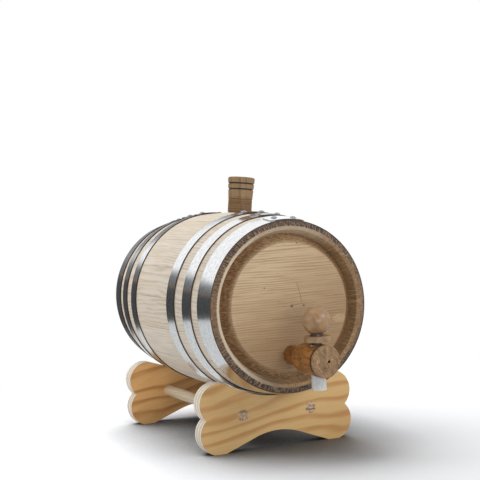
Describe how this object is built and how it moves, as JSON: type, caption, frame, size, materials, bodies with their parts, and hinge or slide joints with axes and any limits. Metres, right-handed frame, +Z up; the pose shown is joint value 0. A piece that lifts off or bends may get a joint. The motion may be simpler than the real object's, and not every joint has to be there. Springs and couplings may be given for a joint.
{
  "type": "oak wine barrel",
  "caption": "Small hooped oak barrel on its side in a wooden cradle, with a lift-out bung on top and a wooden tap whose key turns a plastic spout.",
  "frame": {"origin": "on the floor, at the middle of the bounding box's base", "axes": "+Z up; +Y along the barrel's axis from the tap end to the rear; +X to the right seen from the tap end"},
  "size_m": [0.188, 0.3466, 0.2765],
  "materials": {
    "stave_oak": "planed, dry",
    "head_oak": "planed, lightly waxed",
    "hoop_steel": "galvanised strip",
    "rivet_steel": "galvanised, domed",
    "bung_oak": "turned",
    "tap_oak": "turned, oiled",
    "key_oak": "turned, waxed",
    "outlet_plastic": "satin",
    "stand_pine": "clear varnish",
    "dowel_wood": "satin"
  },
  "bodies": {
    "stand": {"stand_front_panel": "stand_pine", "stand_rear_panel": "stand_pine", "stand_left_dowel": "dowel_wood", "stand_right_dowel": "dowel_wood"},
    "barrel": {"bung_stave": "stave_oak", "stave_01": "stave_oak", "stave_02": "stave_oak", "stave_03": "stave_oak", "stave_04": "stave_oak", "stave_05": "stave_oak", "stave_06": "stave_oak", "stave_07": "stave_oak", "stave_08": "stave_oak", "stave_09": "stave_oak", "stave_10": "stave_oak", "stave_11": "stave_oak", "stave_12": "stave_oak", "stave_13": "stave_oak", "stave_14": "stave_oak", "stave_15": "stave_oak", "stave_16": "stave_oak", "stave_17": "stave_oak", "front_chime_hoop": "hoop_steel", "front_quarter_hoop": "hoop_steel", "front_bilge_hoop": "hoop_steel", "rear_chime_hoop": "hoop_steel", "rear_quarter_hoop": "hoop_steel", "rear_bilge_hoop": "hoop_steel", "front_chime_rivets": "rivet_steel", "front_quarter_rivets": "rivet_steel", "front_bilge_rivets": "rivet_steel", "rear_chime_rivets": "rivet_steel", "rear_quarter_rivets": "rivet_steel", "rear_bilge_rivets": "rivet_steel", "front_head_lower_board": "head_oak", "front_head_middle_board": "head_oak", "front_head_upper_board": "head_oak", "rear_head_lower_board": "head_oak", "rear_head_middle_board": "head_oak", "rear_head_upper_board": "head_oak", "front_head_pins": "dowel_wood", "rear_head_pins": "dowel_wood", "tap_body": "tap_oak"},
    "bung": {"bung": "bung_oak"},
    "tap_key": {"tap_key": "key_oak", "tap_outlet": "outlet_plastic"}
  },
  "joints": [
    {"name": "barrel_lift", "type": "slide", "parent": "stand", "child": "barrel", "axis": [0, 0, 1], "range_m": [0, 0.12]},
    {"name": "bung_pull", "type": "slide", "parent": "barrel", "child": "bung", "axis": [0.1132, 0, 0.9936], "range_m": [0, 0.05]},
    {"name": "tap_turn", "type": "hinge", "parent": "barrel", "child": "tap_key", "pos_m": [0, -0.15725, 0.09667], "axis": [0, 0, 1], "continuous": true}
  ]
}
